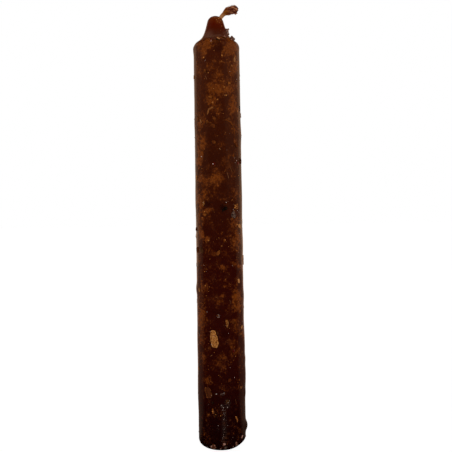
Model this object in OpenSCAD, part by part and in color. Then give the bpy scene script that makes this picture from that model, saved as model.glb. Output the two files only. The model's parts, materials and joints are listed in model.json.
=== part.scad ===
// Moulded ritual candle: a slim, slightly tapering pillar with a drawn-in tip,
// a plied cotton wick with a frayed, waxed end, and herbs and resin cast into the wax.
// Millimetres. +Z is up, the base's centre is the origin, and -Y is the front.

/* [Wax body] */
// Diameter of the straight foot, which stands in a candle cup
foot_d = 22; // [20:0.5:25]
// Height of the straight foot
foot_h = 20; // [14:1:30]
// Diameter under the shoulder, less than the foot's so that the candle slides out of its mould
shoulder_d = 21; // [19:0.5:24]
// Height of the wax, from the base to the top of the tip
wax_h = 200; // [150:5:260]
// Radius of the round at the base
base_round = 3; // [1.5:0.5:4]

/* [Tip] */
// Height of the shoulder and tip above the straight side
tip_h = 15.3; // [13:0.1:19]
// Radius of the round between the side and the shoulder
shoulder_round = 3.6; // [2.6:0.1:4.6]
// Angle through which that round turns, from upright
shoulder_turn = 56; // [48:1:62]
// Width of the crown, the domed top of the tip
crown_d = 7.4; // [6.4:0.1:9]
// Height of the crown
crown_h = 3.4; // [2.6:0.1:4.4]
// How far the burr of spilt wax stands out of the tip's flank
burr_out = 1.1; // [0.5:0.1:1.8]
// Height of that burr
burr_h = 2.8; // [1.8:0.1:3.6]
// Thickness of that burr
burr_t = 1.6; // [0.8:0.1:2.4]

/* [Wick] */
// Diameter of the wick
wick_d = 1.9; // [1.4:0.1:2.4]
// Distance from the candle's axis at which the wick leaves the crown
wick_out = 2.2; // [1.6:0.1:3]
// Lean of the wick from upright where it leaves the crown
wick_lean = 34; // [28:1:50]
// Lean of the wick at its frayed end
end_lean = 102; // [70:1:110]
// Length of the wick outside the wax
wick_free = 9.4; // [5:0.2:14]
// Thickness of the frayed end
frayed_d = 4.2; // [3:0.1:6]
// How unevenly the plies end
fray = 0.5; // [0.2:0.1:0.8]
// Number of plies
plies = 4; // [3:1:5]

/* [Herbs] */
// Length of the large seed husk
husk_l = 8.4; // [6:0.2:10]
// Width of the large seed husk
husk_w = 3.8; // [3:0.1:5]
// Width of the rolled rim of a husk or a seed
rim_w = 0.5; // [0.3:0.1:0.7]
// Depth of the hollow inside that rim
dish_depth = 0.4; // [0.2:0.05:0.6]
// Length of a common chip of herb
chip_l = 2.4; // [1.6:0.1:3]
// Thickness of husks, seeds and chips
chip_t = 0.9; // [0.7:0.1:1.4]
// Thickness of leaf flakes
leaf_t = 0.4; // [0.3:0.05:0.6]
// Thickness of dry stems at their thickest
stem_d = 1.1; // [0.8:0.1:1.6]
// Diameter of resin beads
bead_d = 2; // [1.4:0.1:2.6]
// How far herbs stand out of the wax above the foot
herb_proud = 0.3; // [0.1:0.05:0.5]

/* [Hidden] */
$fn = 48;

side_h = wax_h - tip_h;

function arc(x, z, r, from, to, steps) =
    [for (i = [0 : steps]) let (a = from + (to - from) * i / steps) [x + r * cos(a), z + r * sin(a)]];
function cubic(a, b, c, d, t) =
    pow(1 - t, 3) * a + 3 * t * pow(1 - t, 2) * b + 3 * t * t * (1 - t) * c + pow(t, 3) * d;
function cubic_points(a, b, c, d, steps) = [for (i = [1 : steps]) cubic(a, b, c, d, i / steps)];

// The hollow flank runs from the shoulder's round to the root of the crown, in line with both
crown_root = 16;
flank_start = [shoulder_d / 2 - shoulder_round * (1 - cos(shoulder_turn)),
    side_h + shoulder_round * sin(shoulder_turn)];
flank_end = [crown_d / 2 * cos(crown_root), wax_h - crown_h * (1 - sin(crown_root))];
flank_lower_pull = 0.4 * (flank_end[1] - flank_start[1]);
flank_upper_pull = 0.53 * (flank_end[1] - flank_start[1]);

wax_outline = concat(
    [[0, 0]],
    arc(foot_d / 2 - base_round, base_round, base_round, -90, 0, 8),
    [[foot_d / 2, foot_h]],
    arc(shoulder_d / 2 - shoulder_round, side_h, shoulder_round, 0, shoulder_turn, 6),
    cubic_points(flank_start,
        flank_start + flank_lower_pull * [-sin(shoulder_turn), cos(shoulder_turn)],
        flank_end - flank_upper_pull * [-sin(crown_root), cos(crown_root)],
        flank_end, 12),
    [for (a = [28 : 12 : 88]) [crown_d / 2 * cos(a), wax_h - crown_h * (1 - sin(a))]],
    [[0, wax_h]]);

wax_radii = [for (p = wax_outline) if (p[0] > 0) [p[1], p[0]]];
function wax_r(up) = lookup(up, wax_radii);
function wax_lean(up) = atan2(wax_r(up - 0.2) - wax_r(up + 0.2), 0.4);
// A height as a share of the straight side, or past 1, of the tip above it
function height(share) = share <= 1 ? share * side_h : side_h + (share - 1) * tip_h;

// Sets its children on the wax at an angle round the candle from the front, with +Z outwards and +Y up
module on_wax(side, up, turn = 0) {
    rotate([0, 0, side])
        translate([0, -wax_r(up), up])
            rotate([90 - wax_lean(up), 0, 0])
                rotate([0, 0, turn])
                    children();
}

// Spreads count places over the back of the candle, which has as many herbs as its front
golden = 0.618;
back_places = 40;
function back(i) = [95 + 170 * (i * golden - floor(i * golden)), 0.05 + 0.9 * i / (back_places - 1)];

// Each herb's side, height share and turn, then its length and width as shares of a common chip
large_husk = [-16, 0.282, 9];
small_husks = [[15.5, 0.32, 10, 1.5, 0.65], [-39, 0.616, -20, 0.9, 0.5], [88, 0.47, 15, 2.1, 0.95]];
seeds = [
    [-33, 0.148, 14, 2.1, 1.4], [-5, 0.338, 30, 0.7, 0.65], [-20.5, 0.0125, 0, 0.9, 0.9],
    [70, 0.72, 0, 1, 0.95], [-68, 0.5, 20, 1.2, 0.9]];
bark = [
    [51, 0.422, -8, 1, 0.6], [62, 0.304, 5, 0.8, 0.4], [57, 0.288, -12, 0.8, 0.4],
    [58, 0.558, 12, 0.9, 0.65], [50, 0.966, -10, 1.05, 0.5], [39, 0.95, 15, 0.7, 0.45],
    [-57, 0.823, -5, 1.15, 0.4], [-44, 0.816, 8, 0.8, 0.35], [-20.5, 0.1, 0, 1.1, 0.45],
    [36, 0.018, 5, 0.8, 0.4], [46, 0.175, 0, 0.65, 0.5], [53, 0.153, 20, 0.75, 0.5],
    [6, 1.157, 75, 0.7, 0.4], [-66, 0.68, 8, 1.1, 0.55], [-60, 0.4, -15, 0.8, 0.5],
    [-70, 0.2, 10, 1, 0.55], [22, 0.877, 70, 0.75, 0.45], [-78, 0.93, 5, 0.9, 0.5]];
amber = [
    [-3, 0.493, -20, 1, 0.7], [10.5, 0.841, 60, 0.85, 0.6], [-7.5, 0.82, 5, 0.95, 0.55],
    [52, 0.758, 15, 1.1, 0.8], [-9.5, 0.764, -25, 0.8, 0.7], [-10, 0.803, 70, 1, 0.7],
    [-16, 0.873, 70, 0.7, 0.4], [31, 0.907, 10, 0.7, 0.6], [-29, 0.936, -10, 0.85, 0.6],
    [40, 0.074, -12, 1.05, 0.5], [20, 0.078, -50, 0.6, 0.45], [19, 0.178, 30, 0.7, 0.6],
    [28, 1.24, 65, 0.7, 0.35], [-75, 0.55, 0, 0.95, 0.6], [-25, 0.812, -25, 0.8, 0.4],
    [-34, 0.588, 75, 0.85, 0.5]];
leaves = [
    [38, 0.585, -4, 1.6, 1], [14, 0.6, -55, 1.45, 0.7], [14, 0.125, 20, 1.1, 0.8],
    [-22, 0.122, -12, 0.9, 0.45], [-14, 0.094, 5, 0.9, 0.5], [8, 0.012, 0, 0.75, 0.7],
    [75, 0.85, 10, 1.2, 0.75], [-48, 0.5, 25, 1.2, 0.7]];
// The resin on the collar, and drops lower down: side and height share
beads = [[-12.5, 1.16], [58, 0.713], [-10, 0.71], [32, 0.25], [-55, 0.08]];
// Routes of the stems: side and height share of the four pulls of a curve
stems = [
    [[11, 0.813], [28, 0.828], [45, 0.805], [48.5, 0.774]],
    [[-3, 0.845], [-15, 0.851], [-22, 0.842], [-26, 0.826]],
    [[46, 0.611], [54, 0.614], [54, 0.6], [47, 0.602]],
    [[38, 1.24], [42, 1.2], [48, 1.17], [54, 1.2]],
    [[130, 0.62], [140, 0.66], [150, 0.6], [165, 0.64]],
    [[214, 0.43], [222, 0.45], [230, 0.42], [235, 0.37]]];

// A broken edge: points on an oval whose distance from the middle is uneven
function broken_outline(l, w, seed, corners = 8) =
    let (reach = rands(0.78, 1.1, corners, seed))
    [for (i = [0 : corners - 1]) let (a = 360 * i / corners)
        [w / 2 * reach[i] * cos(a), l / 2 * reach[i] * sin(a)]];

module chip(l, w, t, seed) {
    translate([0, 0, -t]) linear_extrude(t) polygon(broken_outline(l, w, seed));
}

// A blunt oval, narrower towards its top
function blunt(x, power) = sign(x) * pow(abs(x), power);
function husk_outline(l, w) =
    [for (a = [0 : 15 : 345])
        [w / 2 * blunt(cos(a), 0.85) * (1 - 0.12 * sin(a)), l / 2 * blunt(sin(a), 0.75)]];

// Half of a seed coat, hollow inside its rolled rim when it is finished
module husk(l, w, finished) {
    rim = min(rim_w, w / 4);
    difference() {
        translate([0, 0, -chip_t]) linear_extrude(chip_t) polygon(husk_outline(l, w));
        if (finished)
            translate([0, 0, -dish_depth]) linear_extrude(chip_t)
                polygon(husk_outline(l - 2.4 * rim, w - 2 * rim));
    }
}

// Faces of a skin over rings of points, closed by a fan round a middle point at each end
function skin_faces(rings, sides) = concat(
    [for (i = [0 : rings - 2], j = [0 : sides - 1]) let (k = (j + 1) % sides)
        each [[i * sides + j, (i + 1) * sides + k, i * sides + k],
            [i * sides + j, (i + 1) * sides + j, (i + 1) * sides + k]]],
    [for (j = [0 : sides - 1]) [rings * sides, j, (j + 1) % sides]],
    [for (j = [0 : sides - 1]) let (last = (rings - 1) * sides)
        [rings * sides + 1, last + (j + 1) % sides, last + j]]);

module skin(rings, first_middle, last_middle) {
    polyhedron(concat([for (ring = rings) each ring], [first_middle, last_middle]),
        skin_faces(len(rings), len(rings[0])));
}

// A dry stem follows a curve on the wax, thick in the middle, with both ends dipping into the wax
stem_rings = 10;
stem_sides = 6;
function on_side(side, up, r) = [r * sin(side), -r * cos(side), up];
function stem_swell(t) = 0.45 + 0.55 * sin(180 * t);
function stem_middle(pulls, t) =
    let (p = cubic(pulls[0], pulls[1], pulls[2], pulls[3], t), up = height(p[1]))
    on_side(p[0], up, wax_r(up) + herb_proud - stem_d / 2 * (stem_swell(t) + 0.7 * pow(2 * t - 1, 4)));
function stem_ring(pulls, t) =
    let (
        middle = stem_middle(pulls, t),
        ahead = stem_middle(pulls, min(t + 0.05, 1)) - stem_middle(pulls, max(t - 0.05, 0)),
        along = ahead / norm(ahead),
        out = [middle[0], middle[1], 0] / norm([middle[0], middle[1]]),
        across = cross(along, out) / norm(cross(along, out)),
        r = stem_d / 2 * stem_swell(t))
    [for (j = [0 : stem_sides - 1]) let (a = 360 * j / stem_sides)
        middle + r * (cos(a) * cross(across, along) + sin(a) * across)];
module stem(pulls) {
    skin([for (i = [0 : stem_rings - 1]) stem_ring(pulls, i / (stem_rings - 1))],
        stem_middle(pulls, 0), stem_middle(pulls, 1));
}

// The wick runs up the axis, bends over inside the tip and leaves the crown at right angles to it
exit_up = wax_h - crown_h * (1 - sqrt(1 - pow(2 * wick_out / crown_d, 2)));
bend_r = wick_out / (1 - cos(wick_lean));
bend_up = exit_up - bend_r * sin(wick_lean);
free_r = wick_free / ((end_lean - wick_lean) * PI / 180);
free_steps = 26;
bend_steps = 10;
wick_sides = 32;
twist = 230;
// How far the wick has swollen towards its frayed thickness along its free length
swelling = [[0, 0], [0.06, 0], [0.25, 0.16], [0.45, 0.58], [0.62, 0.93], [0.78, 1], [0.93, 0.97], [1, 0.8]];

function wick_middle(lean) = lean <= wick_lean
    ? [bend_r * (1 - cos(lean)), 0, bend_up + bend_r * sin(lean)]
    : [wick_out + free_r * (cos(wick_lean) - cos(lean)), 0, exit_up + free_r * (sin(lean) - sin(wick_lean))];
function free_lean(t) = wick_lean + (end_lean - wick_lean) * t;
// Radius of a bundle of plies in a direction: the plies' circles lie round the bundle's middle
function bundle_r(outer, spread, a) =
    let (
        step = 360 / plies,
        off = a - step * round(a / step),
        apart = spread * outer,
        ply_r = outer - apart)
    apart * cos(off) + sqrt(pow(ply_r, 2) - pow(apart * sin(off), 2));
function wick_ring(lean, r, spread = 0, turned = 0) =
    [for (j = [0 : wick_sides - 1]) let (a = 360 * j / wick_sides, br = bundle_r(r, spread, a - turned))
        wick_middle(lean) + br * [cos(a) * cos(lean), sin(a), -cos(a) * sin(lean)]];
function free_r_at(t) = wick_d / 2 + (frayed_d - wick_d) / 2 * lookup(t, swelling);
function spread_at(t) = 0.46 * min(1, max(0, t - 0.05) / 0.2);
// The plies end unevenly, and the last ring shows it
function frayed_ring(t, share) =
    [for (j = [0 : wick_sides - 1]) let (
            a = 360 * j / wick_sides,
            back_off = fray / wick_free * (1 + cos(a * plies - twist) + 0.5 * sin(a * 2)) * (1 - share / 2),
            lean = free_lean(t - back_off),
            br = share * bundle_r(free_r_at(t), spread_at(1), a - twist))
        wick_middle(lean) + br * [cos(a) * cos(lean), sin(a), -cos(a) * sin(lean)]];

module wick() {
    color([0.45, 0.28, 0.16])
        skin(concat(
                [[for (p = wick_ring(0, wick_d / 2)) [p[0], p[1], 0]]],
                [for (i = [0 : bend_steps]) wick_ring(wick_lean * i / bend_steps, wick_d / 2)],
                [for (i = [1 : free_steps - 1]) let (t = 0.92 * i / free_steps)
                    wick_ring(free_lean(t), free_r_at(t), spread_at(t), twist * t)],
                [frayed_ring(0.97, 0.9), frayed_ring(1, 0.6), frayed_ring(0.97, 0.25)]),
            [0, 0, 0], wick_middle(free_lean(0.9)));
}

// The round hole that the wick fills, let out past the crown
module wick_hole() {
    cylinder(h = bend_up, d = wick_d);
    translate([bend_r, 0, bend_up]) rotate([90, 0, 0])
        rotate_extrude(angle = wick_lean + 8, start = 180 - wick_lean - 8)
            translate([bend_r, 0]) circle(d = wick_d);
}

// A burr where wax has run down the flank, rooted in it
burr_side = 83;
burr_up = 1.6;
burr_root = 1.2;
module burr() {
    up = height(burr_up);
    rotate([0, 0, burr_side - 90]) translate([wax_r(up), burr_t / 2, up]) rotate([90, 0, 0])
        linear_extrude(burr_t)
            polygon([[-burr_root, 0], [burr_out * 0.9, 0.15], [burr_out, -0.05],
                [burr_out * 0.7, -0.25 * burr_h], [burr_out * 0.75, -0.5 * burr_h],
                [burr_out * 1.1, -0.8 * burr_h], [0, -burr_h], [-burr_root, -burr_h]]);
}

module wax_form() {
    rotate_extrude($fn = 96) polygon(wax_outline);
}

// Sets a herb in the wax. The mould's wall has pressed those in the foot flush, so that it slides into a cup
flush_above_foot = 3;
module set_in_wax(side, share, turn, out, finished) {
    up = height(share);
    if (finished && up < foot_h + flush_above_foot)
        intersection() {
            on_wax(side, up, turn) translate([0, 0, out]) children();
            wax_form();
        }
    else
        on_wax(side, up, turn) translate([0, 0, out]) children();
}

module wax_body() {
    color([0.24, 0.09, 0.04])
        difference() {
            union() {
                wax_form();
                burr();
            }
            wick_hole();
            // Each herb's pocket has its unfinished form
            seed_husks(finished = false);
            brown_seeds(finished = false);
            bark_chips(finished = false);
            amber_chips(finished = false);
            leaf_flakes(finished = false);
            dry_stems();
            resin_beads(finished = false);
            shoulder_chip();
        }
}

module seed_husks(finished = true) {
    color([0.62, 0.45, 0.28]) {
        set_in_wax(large_husk[0], large_husk[1], large_husk[2], herb_proud, finished)
            husk(husk_l, husk_w, finished);
        for (p = small_husks)
            set_in_wax(p[0], p[1], p[2], herb_proud, finished) husk(chip_l * p[3], chip_l * p[4], finished);
        for (i = [0 : 8 : back_places - 1]) let (p = back(i), l = chip_l * (1.2 + 0.4 * (i % 3)))
            set_in_wax(p[0], p[1], 20 * sin(i * 50), herb_proud, finished) husk(l, l / 2, finished);
    }
}

module brown_seeds(finished = true) {
    color([0.35, 0.2, 0.12]) {
        for (p = seeds)
            set_in_wax(p[0], p[1], p[2], herb_proud, finished) husk(chip_l * p[3], chip_l * p[4], finished);
        for (i = [3 : 8 : back_places - 1]) let (p = back(i))
            set_in_wax(p[0], p[1], i, herb_proud, finished) husk(chip_l, 0.9 * chip_l, finished);
    }
}

// The chips of one kind: those in the list, then every so many places on the back
module chips(list, first, every, t, out, finished) {
    for (i = [0 : len(list) - 1]) let (p = list[i])
        set_in_wax(p[0], p[1], p[2], out, finished) chip(chip_l * p[3], chip_l * p[4], t, i + first);
    for (i = [first : every : back_places - 1]) let (p = back(i))
        set_in_wax(p[0], p[1], 35 * sin(i * 70), out, finished)
            chip(chip_l * (0.8 + 0.1 * (i % 4)), chip_l / 2, t, i);
}

module bark_chips(finished = true) {
    color([0.55, 0.38, 0.22]) chips(bark, 1, 4, chip_t, herb_proud, finished);
}

module amber_chips(finished = true) {
    color([0.5, 0.26, 0.08]) chips(amber, 2, 4, chip_t, herb_proud, finished);
}

module leaf_flakes(finished = true) {
    color([0.28, 0.25, 0.2]) chips(leaves, 4, 8, leaf_t, leaf_t / 3, finished);
}

module dry_stems() {
    color([0.5, 0.33, 0.2]) for (pulls = stems) stem(pulls);
}

module resin_beads(finished = true) {
    color([0.25, 0.02, 0.01]) {
        for (p = beads)
            set_in_wax(p[0], p[1], 0, herb_proud - bead_d / 2, finished) sphere(d = bead_d);
        for (i = [7 : 8 : back_places - 1]) let (p = back(i))
            set_in_wax(p[0], p[1], 0, herb_proud - bead_d / 2, finished) sphere(d = bead_d);
    }
}

// A rough piece of bark that lies on the shoulder, hewn from above and from the side
module shoulder_chip() {
    color([0.2, 0.12, 0.08])
        on_wax(74, height(1.27), 0) translate([0, 0, -0.5]) intersection() {
            linear_extrude(1.7) polygon(broken_outline(2.8, 2, 5));
            rotate([0, 90, 0]) linear_extrude(3, center = true)
                polygon([[0.2, -1.5], [0.2, 1.5], [-0.7, 1.5], [-1.7, 0.9], [-1.5, 0.1], [-1.65, -0.6], [-0.8, -1.4]]);
        }
}

wax_body();
wick();
seed_husks();
brown_seeds();
bark_chips();
amber_chips();
leaf_flakes();
dry_stems();
resin_beads();
shoulder_chip();
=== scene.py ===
# %% [markdown]
# # A ritual candle
#
# The candle is a slim pillar of dark maroon wax. Dry herbs, seed husks and resin were stirred into the
# melt, so they lie in its skin and show as amber clouds under it. Its tip is drawn in and bare, and a
# waxed cotton wick leans out of it with a frayed end.
#
# The solids of the candle come ready made, at their real size. This notebook gives them their looks: a
# wax skin with the lumps and worn edges of a hand-poured candle, herbs with worn edges, a wick laid up
# from its yarns, and the light and the camera of the photograph.

# %% The solids of the candle
import json
import math
import random

import bpy
import numpy as np
from mathutils import Matrix, Vector, noise
from mathutils.bvhtree import BVHTree

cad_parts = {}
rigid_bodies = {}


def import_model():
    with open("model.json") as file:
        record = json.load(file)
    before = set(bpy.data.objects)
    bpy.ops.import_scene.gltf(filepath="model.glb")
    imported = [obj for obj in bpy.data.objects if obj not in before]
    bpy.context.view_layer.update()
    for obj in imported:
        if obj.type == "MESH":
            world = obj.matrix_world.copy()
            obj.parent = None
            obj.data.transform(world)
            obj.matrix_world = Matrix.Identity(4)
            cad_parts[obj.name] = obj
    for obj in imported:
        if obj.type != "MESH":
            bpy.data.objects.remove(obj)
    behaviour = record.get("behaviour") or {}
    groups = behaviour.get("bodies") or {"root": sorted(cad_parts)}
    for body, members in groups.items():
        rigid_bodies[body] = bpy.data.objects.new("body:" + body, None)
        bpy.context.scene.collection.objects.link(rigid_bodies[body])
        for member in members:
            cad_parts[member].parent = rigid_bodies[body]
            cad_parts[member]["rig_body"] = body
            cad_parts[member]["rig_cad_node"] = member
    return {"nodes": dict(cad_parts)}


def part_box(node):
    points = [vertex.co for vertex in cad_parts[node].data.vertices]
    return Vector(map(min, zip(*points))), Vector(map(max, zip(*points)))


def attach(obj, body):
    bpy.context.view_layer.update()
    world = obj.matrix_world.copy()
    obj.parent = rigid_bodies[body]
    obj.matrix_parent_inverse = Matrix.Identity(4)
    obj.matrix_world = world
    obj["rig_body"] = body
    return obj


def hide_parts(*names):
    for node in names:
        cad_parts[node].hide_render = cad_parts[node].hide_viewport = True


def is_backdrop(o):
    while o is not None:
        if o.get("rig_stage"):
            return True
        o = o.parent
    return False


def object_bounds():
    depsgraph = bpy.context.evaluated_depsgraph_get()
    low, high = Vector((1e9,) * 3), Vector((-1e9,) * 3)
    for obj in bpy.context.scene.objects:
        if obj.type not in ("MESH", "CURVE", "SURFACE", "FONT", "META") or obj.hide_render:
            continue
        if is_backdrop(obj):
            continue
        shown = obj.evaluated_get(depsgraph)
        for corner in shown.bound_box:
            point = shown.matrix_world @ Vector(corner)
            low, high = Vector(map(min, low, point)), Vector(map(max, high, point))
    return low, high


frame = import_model()
bpy.ops.object.select_all(action="DESELECT")
solids_box = [list(corner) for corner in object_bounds()]
MM = 0.001
print("solids:", ", ".join(sorted(frame["nodes"])))

# %% [markdown]
# ## The camera
#
# Everything in the photograph is seen through the camera, so it comes first. A candle that tapers by 1 mm
# but looks 9 pixels wider at its foot was seen from close by and from above its foot, and that fixes the
# camera's place. The picture could be shifted to centre the candle, but a small lean of the camera does it
# as well, and also holds in other views.

# %% Place the camera
PICTURE = 452
FOCAL = 600
camera_place = Vector((3.194, -280.828, 112.676)) * MM
camera_pitch = math.radians(2.0)
camera_roll = math.radians(0.861)
camera_turn = Matrix.Rotation(math.pi / 2 - camera_pitch, 3, "X") @ Matrix.Rotation(-camera_roll, 3, "Z")

bpy.ops.object.camera_add(location=camera_place, rotation=camera_turn.to_euler())
camera = bpy.context.object
camera.name = "camera"
camera.data.lens = camera.data.sensor_width * FOCAL / PICTURE
bpy.context.scene.camera = camera
print("lens", round(camera.data.lens, 2), "mm on a", camera.data.sensor_width, "mm sensor")


# %% Go from the candle to the picture and back
def to_pixels(points):
    """Where points of the candle fall in the photograph."""
    local = (np.asarray(points) - np.array(camera_place)) @ np.array(camera_turn)
    return PICTURE / 2 - FOCAL * local[:, 0] / local[:, 2], PICTURE / 2 + FOCAL * local[:, 1] / local[:, 2]


def under_pixel(pieces, x, y):
    """The nearest point of these pieces that shows at a pixel of the photograph, and its normal."""
    ray = (camera_turn @ Vector((x - PICTURE / 2, PICTURE / 2 - y, -FOCAL))).normalized()
    found = [piece.ray_cast(camera_place, ray) for piece in pieces]
    shown = [(point, normal) for hit, point, normal, face in found if hit]
    if not shown:
        raise ValueError(f"nothing shows at pixel {x}, {y}")
    return min(shown, key=lambda spot: (spot[0] - camera_place).length)


# %% [markdown]
# ## Helpers for modelling
#
# A finished piece has its place in its mesh and its object at the origin, as the solids have. It rides
# on the candle's one body. Operators act on all that is selected, so each helper starts by selecting
# just the piece that it works on.

# %% Select, finish and settle a piece
def select(*pieces):
    """Selects these pieces alone, the first of them active."""
    if bpy.context.object and bpy.context.object.mode != "OBJECT":
        bpy.ops.object.mode_set(mode="OBJECT")
    bpy.ops.object.select_all(action="DESELECT")
    for piece in pieces:
        piece.select_set(True)
    bpy.context.view_layer.objects.active = pieces[0]


def modify(piece, kind, **settings):
    """Adds a modifier with these settings and applies it."""
    select(piece)
    bpy.ops.object.modifier_add(type=kind)
    modifier = piece.modifiers[-1]
    for name, value in settings.items():
        setattr(modifier, name, value)
    bpy.ops.object.modifier_apply(modifier=modifier.name)


def fuse(piece, cell, share, times):
    """Wraps a piece in a fine net of cells, in millimetres, and smooths it this many times."""
    modify(piece, "REMESH", mode="VOXEL", voxel_size=cell * MM)
    modify(piece, "SMOOTH", factor=share, iterations=times)


def roughen(piece, name, size, height):
    """Lifts and sinks a piece's skin by clouds of this size, to this height in all."""
    clouds = bpy.data.textures.new(name, "CLOUDS")
    clouds.noise_scale = size
    modify(piece, "DISPLACE", texture=clouds, texture_coords="LOCAL", mid_level=0.5, strength=height)


def edit_all(piece):
    """Opens a piece in edit mode, with all of it selected."""
    select(piece)
    bpy.ops.object.mode_set(mode="EDIT")
    bpy.ops.mesh.select_all(action="SELECT")


def settle(piece, name, finish, slot, *stands_for):
    """Names a finished piece, paints it, and lets it ride on the candle in place of these solids."""
    select(piece)
    bpy.ops.object.transform_apply(location=True, rotation=True, scale=True)
    bpy.ops.object.shade_smooth()
    piece.name = name
    piece.data.materials.clear()
    piece.data.materials.append(finish)
    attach(piece, "root")
    if stands_for:
        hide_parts(*stands_for)
    triangles = sum(len(face.vertices) - 2 for face in piece.data.polygons)
    print(f"{name}: {triangles} triangles")


# %% Read and move the points of a mesh
def points_of(piece):
    """The piece's points as rows of x, y and z."""
    flat = np.empty(len(piece.data.vertices) * 3, np.float32)
    piece.data.vertices.foreach_get("co", flat)
    return flat.reshape(-1, 3).astype(float)


def move_points(piece, points):
    """Gives the piece's points these places."""
    piece.data.vertices.foreach_set("co", np.asarray(points, np.float32).ravel())
    piece.data.update()


def mark(piece, name, values):
    """Keeps one number for each point of a piece, for its finish to read."""
    attribute = piece.data.attributes.new(name, "FLOAT", "POINT")
    attribute.data.foreach_set("value", np.asarray(values, np.float32))


def noise_at(points, size, seed=0):
    """Smooth noise from about -1 to 1 at each point, whose hills are about size millimetres apart."""
    shift = Vector((seed * 7.3, seed * 3.1, 0))
    return np.array([noise.noise(Vector(p) / (size * MM) + shift) for p in points])


def shifts_at(points, size, seeds, reach):
    """A smooth random shift of each point along x, y and z, of up to about reach millimetres."""
    return np.stack([noise_at(points, size, seed) for seed in seeds], 1) * reach * MM


def smooth_step(values, low, high):
    """0 below low, 1 above high and a soft rise between them."""
    t = np.clip((values - low) / (high - low), 0, 1)
    return t * t * (3 - 2 * t)


def tree_of(piece):
    """The piece's faces, sorted so that a ray or a point finds the nearest one quickly."""
    corners = [face.vertices for face in piece.data.polygons]
    return BVHTree.FromPolygons(points_of(piece).tolist(), corners)


# %% [markdown]
# ## Helpers for finishes
#
# A finish is a material made of nodes, with no pictures. Number sockets are wrapped in a small class, so
# that a mask can be written as it is thought, such as 1 - cloud * 0.4, and Python adds the Math nodes.
# All other nodes come from one method. Colours are written as a paint chart gives them, from 0 to 255.

# %% Sums on sockets
class Value:
    """A node's output. Arithmetic on it adds Math nodes."""

    def __init__(self, finish, socket):
        self.finish = finish
        self.socket = socket

    def maths(self, operation, first, second):
        return self.finish.node("ShaderNodeMath", {"operation": operation}, {0: first, 1: second})

    def __add__(self, other):
        return self.maths("ADD", self, other)

    def __sub__(self, other):
        return self.maths("SUBTRACT", self, other)

    def __rsub__(self, other):
        return self.maths("SUBTRACT", other, self)

    def __mul__(self, other):
        return self.maths("MULTIPLY", self, other)

    def __truediv__(self, other):
        return self.maths("DIVIDE", self, other)

    __radd__ = __add__
    __rmul__ = __mul__

    def larger(self, other):
        return self.maths("MAXIMUM", self, other)


# %% A finish and its nodes
def paint(red, green, blue):
    """A colour of the paint chart as the light that it reflects."""
    chart = (red / 255, green / 255, blue / 255)
    return (*(c / 12.92 if c < 0.04045 else ((c + 0.055) / 1.055) ** 2.4 for c in chart), 1)


class Finish:
    """A material in the making."""

    def __init__(self, name):
        self.material = bpy.data.materials.new(name)
        self.material.use_nodes = True
        self.tree = self.material.node_tree
        self.tree.nodes.clear()

    def node(self, kind, settings=None, inputs=None, output=0):
        """Adds a node, sets it up, gives its sockets values or links, and returns one of its outputs."""
        made = self.tree.nodes.new(kind)
        for name, value in (settings or {}).items():
            if name == "stops":
                ends = made.color_ramp.elements
                ends[0].position, ends[0].color = value[0]
                ends[1].position, ends[1].color = value[-1]
                for position, colour in value[1:-1]:
                    ends.new(position).color = colour
            else:
                setattr(made, name, value)
        for name, value in (inputs or {}).items():
            if isinstance(value, Value):
                self.tree.links.new(value.socket, made.inputs[name])
            else:
                made.inputs[name].default_value = value
        return Value(self, made.outputs[output]) if made.outputs else made

    def place(self, axis=None):
        """Where a point of the surface lies, in metres, or its x, y or z alone."""
        place = self.node("ShaderNodeTexCoord", output="Object")
        return self.node("ShaderNodeSeparateXYZ", inputs={0: place}, output=axis) if axis else place

    def mark(self, name):
        """The number that mark() kept for each point."""
        return self.node("ShaderNodeAttribute", {"attribute_name": name}, output="Fac")

    def noise(self, size, detail=3, roughness=0.55, stretch=None, distortion=0):
        """Noise whose hills are about size millimetres apart."""
        where = self.place()
        if stretch:
            where = self.node("ShaderNodeMapping", inputs={"Vector": where, "Scale": stretch})
        return self.node("ShaderNodeTexNoise", inputs={
            "Vector": where, "Scale": 1 / (size * MM), "Detail": detail, "Roughness": roughness,
            "Distortion": distortion})

    def step(self, value, low, high):
        """0 where the value is below low, 1 above high and a soft rise between them."""
        settings = {"interpolation_type": "SMOOTHSTEP"}
        return self.node("ShaderNodeMapRange", settings, {0: value, 1: low, 2: high, 3: 0, 4: 1})

    def specks(self, apart, share, radius):
        """Round specks: one in each of this share of cells that lie apart millimetres from each other."""
        scale = {"Vector": self.place(), "Scale": 1 / (apart * MM)}
        cell = self.node("ShaderNodeTexVoronoi", inputs=scale)
        tone = self.node("ShaderNodeTexVoronoi", inputs=scale, output="Color")
        chance = self.node("ShaderNodeSeparateColor", inputs={0: tone})
        near = 1 - self.step(cell, 0.6 * radius / apart, 1.2 * radius / apart)
        return near * self.step(share - chance, 0, 0.02)

    def mix(self, factor, first, second):
        """Goes from the first colour to the second as the factor goes from 0 to 1."""
        return self.node("ShaderNodeMix", {"data_type": "RGBA"}, {0: factor, 6: first, 7: second}, 2)

    def bump(self, height, depth, distance=1):
        """A normal that follows a height from 0 to 1. Its full rise is distance, and depth weakens it."""
        sockets = {"Height": height, "Distance": distance * MM, "Strength": depth}
        return self.node("ShaderNodeBump", inputs=sockets)

    def shader(self, **sockets):
        """Ends the finish in the standard surface shader. A name's underscores stand for spaces."""
        inputs = {name.replace("_", " "): value for name, value in sockets.items()}
        surface = self.node("ShaderNodeBsdfPrincipled", inputs=inputs)
        self.node("ShaderNodeOutputMaterial", inputs={"Surface": surface})
        return self.material


# %% [markdown]
# ## The wax skin
#
# The wax was cast in a turned mould and its tip drawn in while it was soft, so its form is a lathe's: one
# half outline, drawn with the curve tool and spun round the axis. The outline is dense enough to carry
# the lumps that follow, which a bump map could not show against the white background.

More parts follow.
